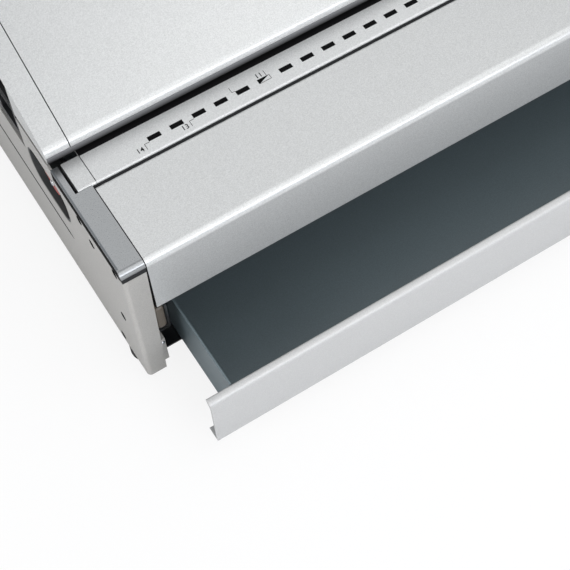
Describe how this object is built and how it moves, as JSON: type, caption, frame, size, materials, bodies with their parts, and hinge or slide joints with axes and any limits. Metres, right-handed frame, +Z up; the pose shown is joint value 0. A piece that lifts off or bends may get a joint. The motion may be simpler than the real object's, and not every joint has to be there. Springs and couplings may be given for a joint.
{
  "type": "electric hole punch",
  "caption": "Heavy desk punch: marked deck with a paper throat, sloped cover with controls, chip drawer drawn open, and a slide-out die set pressed down by a geared camshaft.",
  "frame": {"origin": "centre of the footprint on the desk, under the feet, with the chip drawer as pictured", "axes": "+X to the operator's right, +Y from the operator towards the back, +Z up"},
  "size_m": [0.52, 0.479, 0.25],
  "materials": {
    "back_gauge": "zinc plated",
    "base_plate": "black paint",
    "cam_shaft": "ground steel",
    "control_board": "green board",
    "control_panel": "dark grey, fine grain",
    "die_block": "ground tool steel",
    "die_handle": "black moulding",
    "die_release": "red paint",
    "die_spacers": "ground tool steel",
    "die_stripper": "ground tool steel",
    "drawer_front": "satin anodised extrusion",
    "drawer_runners": "zinc plated",
    "drawer_tray": "slate grey paint",
    "drive_gear": "hobbed steel",
    "drive_pinion": "hobbed steel",
    "eccentrics": "ground steel",
    "edge_guide": "black moulding",
    "front_cover": "satin anodised",
    "front_die_rail": "zinc plated",
    "fuse_holder": "black moulding",
    "gauge_brackets": "zinc plated",
    "gearbox": "die cast",
    "guide_posts": "hard chromed",
    "indicator_lens": "translucent green",
    "left_deck_strip": "grey paint",
    "left_drive_frame": "dark grey paint",
    "left_end_block": "grey paint",
    "left_end_cap": "fine light grey powder coat",
    "left_side_panel": "warm grey paint",
    "margin_knob": "black",
    "mechanism_deck": "zinc plated sheet",
    "mode_knob": "black",
    "motor": "black paint",
    "panel_screws": "plated",
    "paper_table": "satin anodised, printed marks",
    "pedal_socket": "black moulding",
    "pin_retainer": "ground steel",
    "power_inlet": "black moulding",
    "power_rocker": "black moulding",
    "power_supply": "plated steel case",
    "pressure_bar": "milled steel",
    "punch_button": "green",
    "punch_pins": "hardened ground steel",
    "ram_bushes": "sintered bronze",
    "ram_yokes": "milled steel",
    "rear_die_rail": "zinc plated",
    "rear_panel": "warm grey paint",
    "release_cups": "black moulding",
    "reverse_button": "red",
    "right_deck_strip": "grey paint",
    "right_drive_frame": "dark grey paint",
    "right_end_block": "grey paint",
    "right_end_cap": "fine light grey powder coat",
    "right_side_panel": "warm grey paint",
    "rubber_feet": "matt black",
    "shaft_bearings": "sintered bronze",
    "strip_seals": "matt black foam",
    "switch_frame": "black moulding",
    "upper_cover": "fine light grey powder coat",
    "upper_throat_plate": "satin black"
  },
  "bodies": {
    "machine": {"base_plate": "base_plate", "control_board": "control_board", "control_panel": "control_panel", "drawer_runners": "drawer_runners", "front_cover": "front_cover", "front_die_rail": "front_die_rail", "fuse_holder": "fuse_holder", "gauge_brackets": "gauge_brackets", "gearbox": "gearbox", "guide_posts": "guide_posts", "indicator_lens": "indicator_lens", "left_deck_strip": "left_deck_strip", "left_drive_frame": "left_drive_frame", "left_end_block": "left_end_block", "left_end_cap": "left_end_cap", "left_side_panel": "left_side_panel", "mechanism_deck": "mechanism_deck", "motor": "motor", "panel_screws": "panel_screws", "paper_table": "paper_table", "pedal_socket": "pedal_socket", "power_inlet": "power_inlet", "power_supply": "power_supply", "rear_die_rail": "rear_die_rail", "rear_panel": "rear_panel", "release_cups": "release_cups", "right_deck_strip": "right_deck_strip", "right_drive_frame": "right_drive_frame", "right_end_block": "right_end_block", "right_end_cap": "right_end_cap", "right_side_panel": "right_side_panel", "rubber_feet": "rubber_feet", "shaft_bearings": "shaft_bearings", "strip_seals": "strip_seals", "switch_frame": "switch_frame", "upper_cover": "upper_cover", "upper_throat_plate": "upper_throat_plate"},
    "drawer": {"drawer_tray": "drawer_tray", "drawer_front": "drawer_front"},
    "die_set": {"die_block": "die_block", "die_stripper": "die_stripper", "die_spacers": "die_spacers", "die_handle": "die_handle"},
    "pins": {"punch_pins": "punch_pins", "pin_retainer": "pin_retainer"},
    "ram": {"pressure_bar": "pressure_bar", "ram_yokes": "ram_yokes", "ram_bushes": "ram_bushes"},
    "camshaft": {"cam_shaft": "cam_shaft", "eccentrics": "eccentrics", "drive_gear": "drive_gear"},
    "pinion": {"drive_pinion": "drive_pinion"},
    "start_button": {"punch_button": "punch_button"},
    "back_button": {"reverse_button": "reverse_button"},
    "mode_dial": {"mode_knob": "mode_knob"},
    "margin_dial": {"margin_knob": "margin_knob"},
    "gauge": {"back_gauge": "back_gauge"},
    "side_guide": {"edge_guide": "edge_guide"},
    "release_lever": {"die_release": "die_release"},
    "mains_rocker": {"power_rocker": "power_rocker"}
  },
  "joints": [
    {"name": "drawer_slide", "type": "slide", "parent": "machine", "child": "drawer", "axis": [0, -1, 0], "range_m": [-0.0525, 0.09]},
    {"name": "die_set_slide", "type": "slide", "parent": "machine", "child": "die_set", "axis": [-1, 0, 0], "range_m": [0, 0.42]},
    {"name": "cam_turn", "type": "hinge", "parent": "machine", "child": "camshaft", "pos_m": [0, 0.0015, 0.11], "axis": [1, 0, 0], "range_deg": [0, 180]},
    {"name": "ram_slide", "type": "slide", "parent": "machine", "child": "ram", "axis": [0, 0, -1], "range_m": [0, 0.008]},
    {"name": "pin_slide", "type": "slide", "parent": "die_set", "child": "pins", "axis": [0, 0, -1], "range_m": [0, 0.008]},
    {"name": "pinion_turn", "type": "hinge", "parent": "machine", "child": "pinion", "pos_m": [0, 0.0615, 0.11], "axis": [1, 0, 0], "range_deg": [-360, 0]},
    {"name": "punch_button_press", "type": "slide", "parent": "machine", "child": "start_button", "axis": [0, 0.4067, -0.9136], "range_m": [0, 0.0025], "stiffness_N_per_m": 600},
    {"name": "reverse_button_press", "type": "slide", "parent": "machine", "child": "back_button", "axis": [0, 0.4067, -0.9136], "range_m": [0, 0.0025], "stiffness_N_per_m": 500},
    {"name": "mode_knob_turn", "type": "hinge", "parent": "machine", "child": "mode_dial", "pos_m": [0.1827, 0.05833, 0.20955], "axis": [0, -0.4067, 0.9136], "range_deg": [-60, 60]},
    {"name": "gauge_slide", "type": "slide", "parent": "machine", "child": "gauge", "axis": [0, 1, 0], "range_m": [-0.002, 0.002]},
    {"name": "margin_knob_turn", "type": "hinge", "parent": "machine", "child": "margin_dial", "pos_m": [0.2167, 0.05833, 0.20955], "axis": [0, -0.4067, 0.9136], "range_deg": [-135, 135]},
    {"name": "side_guide_slide", "type": "slide", "parent": "machine", "child": "side_guide", "axis": [1, 0, 0], "range_m": [-0.004, 0.004]},
    {"name": "release_lever_turn", "type": "hinge", "parent": "machine", "child": "release_lever", "pos_m": [-0.25, -0.0855, 0.096], "axis": [1, 0, 0], "range_deg": [0, 70]},
    {"name": "mains_rocker_tilt", "type": "hinge", "parent": "machine", "child": "mains_rocker", "pos_m": [0.14, 0.2345, 0.1], "axis": [1, 0, 0], "range_deg": [-12, 0]}
  ],
  "couplings": [
    {"joint": "ram_slide", "follows": "cam_turn", "m_per_rad": 0.0025465},
    {"joint": "pin_slide", "follows": "cam_turn", "m_per_rad": 0.0025465},
    {"joint": "pinion_turn", "follows": "cam_turn", "ratio": -2},
    {"joint": "margin_knob_turn", "follows": "gauge_slide", "rad_per_m": 1178}
  ]
}
